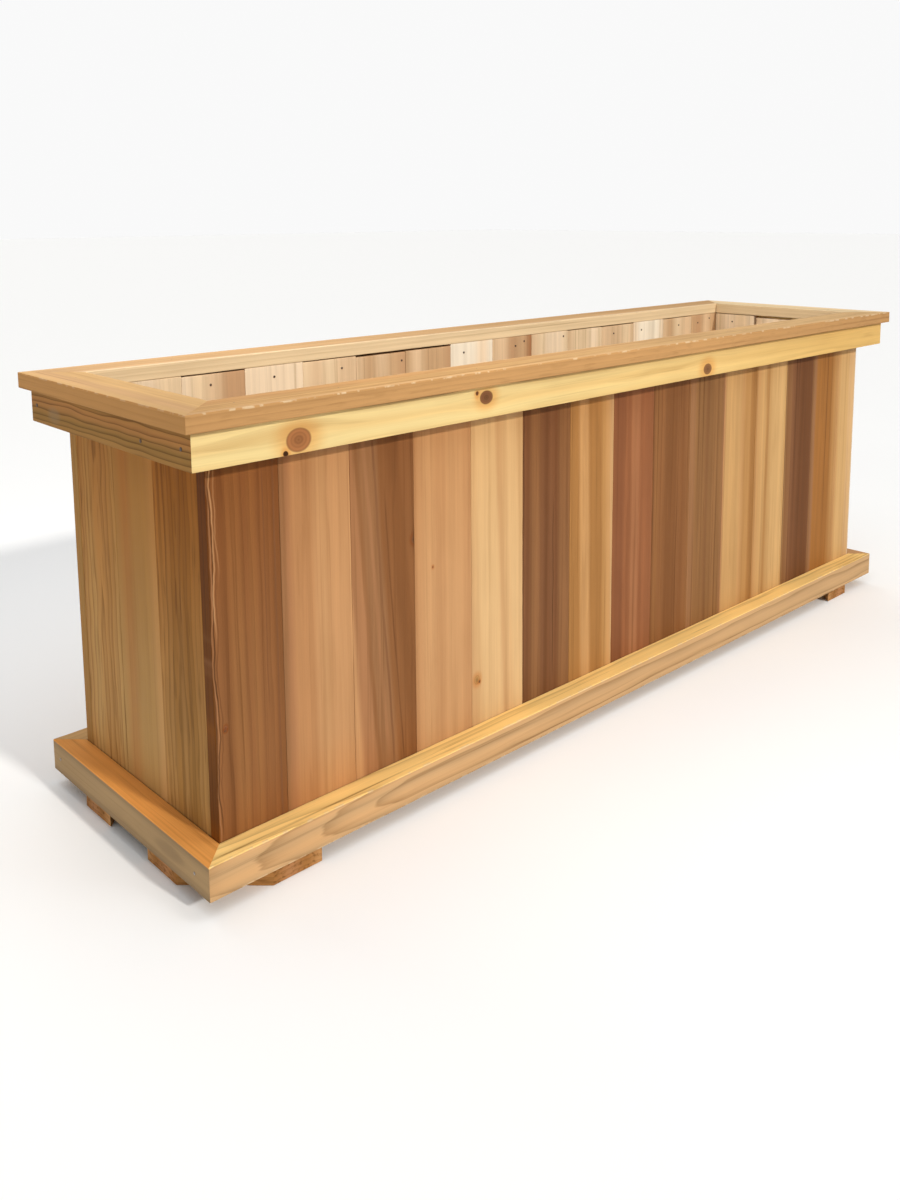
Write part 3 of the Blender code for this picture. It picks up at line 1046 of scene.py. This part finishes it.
def mitre_nails(dark, bright):
    """The mitres are nailed from the ends, and each end fascia has one more nail."""
    fascia_low, fascia_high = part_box("fascia_left")
    fascia_z = (fascia_low.z + fascia_high.z) / 2
    base_low, base_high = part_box("base_trim_left")
    base_z = (base_low.z + base_high.z) / 2
    ends = (fascia_low.y + 0.017, fascia_high.y - 0.014)
    base_ends = (base_low.y + 0.027, base_high.y - 0.018)
    for side, x, out in (("left", fascia_low.x, -1), ("right", -fascia_low.x, 1)):
        spots = [(x, y, fascia_z + 0.001) for y in ends] + [(x, ends[0] + 0.078, fascia_z - 0.003)]
        nails(f"nails_in_{side}_fascia", spots, (out, 0, 0), MITRE_NAIL, dark)
        nails(f"nails_in_{side}_base", [(x, y, base_z) for y in base_ends], (out, 0, 0), BASE_NAIL, bright)


def cap_nails(dark):
    """Finish nails, set just under the cap's surface."""
    draw = random.Random(11)
    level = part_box("cap_front")[1].z - FINISH_SUNK
    spots = []
    for x in (-0.62, -0.50, -0.31, -0.13, 0.05, 0.24, 0.43, 0.61):
        for side in (-1, 1):
            nail_x = x + draw.uniform(-0.02, 0.02)
            nail_y = side * (0.160 + draw.uniform(-0.006, 0.006))
            spots.append((nail_x, nail_y, level))
    for y in (-0.09, 0.0, 0.09):
        for side in (-1, 1):
            spots.append((side * 0.660, y + draw.uniform(-0.01, 0.01), level))
    nails("nails_in_cap", spots, (0, 0, 1), FINISH_NAIL, dark, proud=FINISH_PROUD)


def build_nails():
    dark = steel("nail_steel", (0.09, 0.08, 0.07, 1.0), 0.45)
    bright = steel("nail_zinc", (0.45, 0.44, 0.42, 1.0), 0.35)
    wall_nails(dark)
    mitre_nails(dark, bright)
    cap_nails(dark)


build_nails()


# ---------------------------------------------------------------------------
# Floor, light and camera

STAGE_HALF = 30.0
STAGE_COLOUR = (0.95, 0.947, 0.94, 1.0)


def stage_material():
    material = bpy.data.materials.new("stage_white")
    material.use_nodes = True
    shader = material.node_tree.nodes["Principled BSDF"]
    shader.inputs["Base Color"].default_value = STAGE_COLOUR
    shader.inputs["Roughness"].default_value = 0.9
    shader.inputs["Specular IOR Level"].default_value = 0.1
    return material


def stage():
    mesh = bpy.data.meshes.new("studio_floor")
    corners = [(x * STAGE_HALF, y * STAGE_HALF, 0.0) for x, y in ((-1, -1), (1, -1), (1, 1), (-1, 1))]
    mesh.from_pydata(corners, [], [(0, 1, 2, 3)])
    mesh.materials.append(stage_material())
    floor = bpy.data.objects.new("studio_floor", mesh)
    bpy.context.scene.collection.objects.link(floor)


def lamp(name, kind, energy, location, target, **settings):
    """A lamp aimed at a target. An area lamp isn't seen by the camera."""
    data = bpy.data.lights.new(name, kind)
    data.energy = energy
    for key, value in settings.items():
        setattr(data, key, value)
    obj = bpy.data.objects.new(name, data)
    obj.location = location
    obj.rotation_euler = (Vector(target) - obj.location).to_track_quat("-Z", "Y").to_euler()
    if kind == "AREA":
        obj.visible_camera = False
    bpy.context.scene.collection.objects.link(obj)


def lights():
    """A key from the front, a broad soft one overhead, a warm glow from the ground on the shaded side, a
    weak one from behind, and two that light the inside of the trough."""
    lamp("key_sun", "SUN", 2.12, (0.35, -3.0, 1.55), (0, 0, 0), angle=math.radians(3.0),
         color=(1.0, 0.975, 0.93))
    lamp("overhead", "SUN", 1.34, (0.0, -0.3, 3.0), (0, 0, 0), angle=math.radians(100.0),
         color=(0.97, 0.985, 1.0))
    lamp("left_glow", "AREA", 7.7, (-2.3, -0.2, 0.08), (0, 0, 0.22), shape="RECTANGLE", size=1.8,
         size_y=0.15, color=(1.0, 0.92, 0.80))
    lamp("back_fill", "SUN", 0.5, (0.6, 3.0, 1.7), (0, 0, 0), angle=math.radians(50.0),
         color=(1.0, 0.96, 0.90))
    lamp("inside_fill", "AREA", 4.9, (-0.50, -0.12, 0.98), (0.06, 0.13, 0.42), shape="RECTANGLE", size=1.5,
         size_y=0.12, color=(0.98, 0.99, 1.0))
    lamp("far_end_fill", "AREA", 0.09, (-0.05, 0.0, 0.62), (0.66, 0.0, 0.45), shape="RECTANGLE", size=0.2,
         size_y=0.1, color=(1.0, 0.93, 0.82), spread=math.radians(40.0))


def sky():
    """An even pale surround, shown brighter to the camera than it lights the wood."""
    world = bpy.data.worlds.new("studio")
    world.use_nodes = True
    bpy.context.scene.world = world
    g = Graph(world.node_tree)
    world.node_tree.nodes.clear()
    seen = g.add("ShaderNodeLightPath").outputs["Is Camera Ray"]
    soft = g.add("ShaderNodeBackground", {"Color": (0.96, 0.98, 1.0, 1.0), "Strength": 0.22})
    plain = g.add("ShaderNodeBackground", {"Color": (1.0, 1.0, 1.0, 1.0), "Strength": 0.95})
    both = g.add("ShaderNodeMixShader", {0: seen, 1: soft.outputs[0], 2: plain.outputs[0]})
    g.add("ShaderNodeOutputWorld", {"Surface": both.outputs[0]})


def camera():
    """A standing person's view of the front and left end, looking a little down."""
    data = bpy.data.cameras.new("camera")
    data.lens = 32.2
    data.sensor_width = 36.0
    data.shift_x = -0.021
    data.shift_y = -0.195
    data.clip_start, data.clip_end = 0.05, 100.0
    tilt_down, roll, heading = 8.12, 0.25, -44.09
    obj = bpy.data.objects.new("camera", data)
    obj.location = (-1.153, -1.038, 0.674)
    obj.rotation_mode = "XYZ"
    obj.rotation_euler = (math.radians(90.0 - tilt_down), math.radians(roll), math.radians(heading))
    bpy.context.scene.collection.objects.link(obj)
    bpy.context.scene.camera = obj


bpy.context.scene.view_settings.view_transform = "Standard"
stage()
sky()
lights()
camera()
